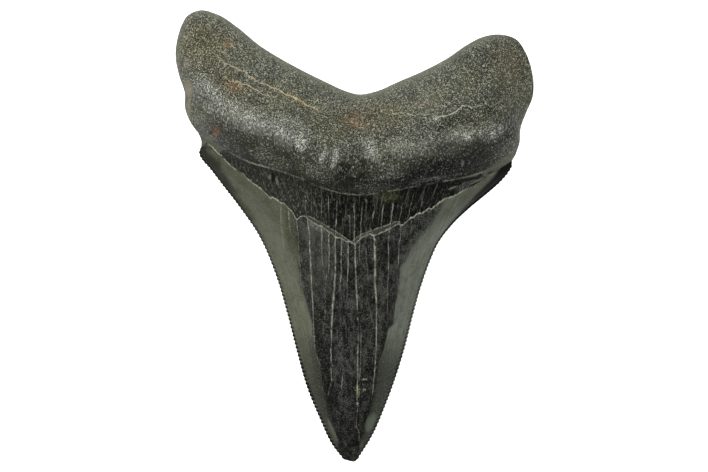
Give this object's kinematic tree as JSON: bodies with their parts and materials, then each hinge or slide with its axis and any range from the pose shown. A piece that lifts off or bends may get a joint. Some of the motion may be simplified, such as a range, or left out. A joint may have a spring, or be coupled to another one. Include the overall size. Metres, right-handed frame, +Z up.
{
  "type": "fossil megalodon tooth",
  "caption": "Fossil megalodon tooth: a thick root with two lobes and a tapering, serrated crown, one solid lying on its labial face.",
  "frame": {"origin": "middle of the underside, level with the lowest points of the labial face, close under the point of the enamel line", "axes": "+Z up, away from the lingual face that shows; +Y towards the root; -Y towards the crown's tip"},
  "size_m": [0.0622, 0.0786, 0.0169],
  "materials": {
    "fossil": "dark grey-green mineral, softly polished on the crown and finely grained on the root"
  },
  "bodies": {
    "root": {"tooth": "fossil"}
  },
  "joints": []
}
